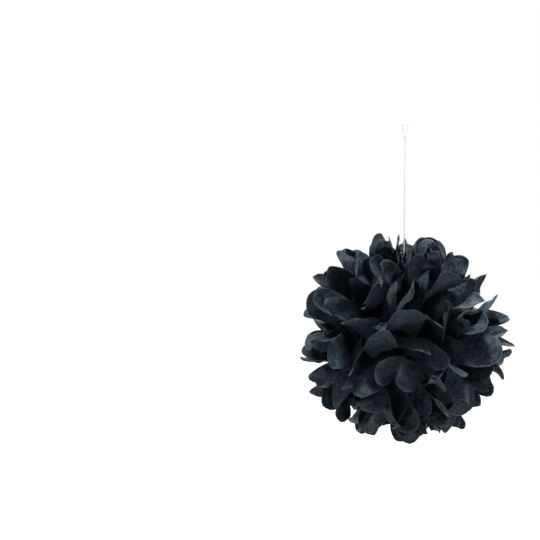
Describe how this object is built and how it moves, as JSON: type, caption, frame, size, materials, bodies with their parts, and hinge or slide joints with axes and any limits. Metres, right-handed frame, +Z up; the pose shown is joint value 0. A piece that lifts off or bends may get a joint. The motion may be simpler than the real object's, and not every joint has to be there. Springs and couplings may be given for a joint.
{
  "type": "hanging tissue paper pom pom",
  "caption": "Round black tissue paper pom pom, its pleated sheets tied at the middle and fluffed into petals, hanging on a thin white string with a loop.",
  "frame": {"origin": "top of the hanging loop, with the ball straight below it", "axes": "+Z up along the hanging string, -Y towards the side that the picture shows, +X to the viewer's right"},
  "size_m": [0.4015, 0.399, 0.5916],
  "materials": {
    "tissue": "matt, slightly crumpled",
    "wire": "plain drawn wire",
    "string": "soft twisted cord"
  },
  "bodies": {
    "root": {"tissue_sheet_1": "tissue", "tissue_sheet_2": "tissue", "tissue_sheet_3": "tissue", "tissue_sheet_4": "tissue", "tissue_sheet_5": "tissue", "tissue_sheet_6": "tissue", "tissue_sheet_7": "tissue", "tissue_sheet_8": "tissue", "tissue_sheet_9": "tissue", "tie_wire": "wire", "string_knot": "string", "hanging_string": "string", "loop_knot": "string", "hanging_loop": "string"}
  },
  "joints": []
}
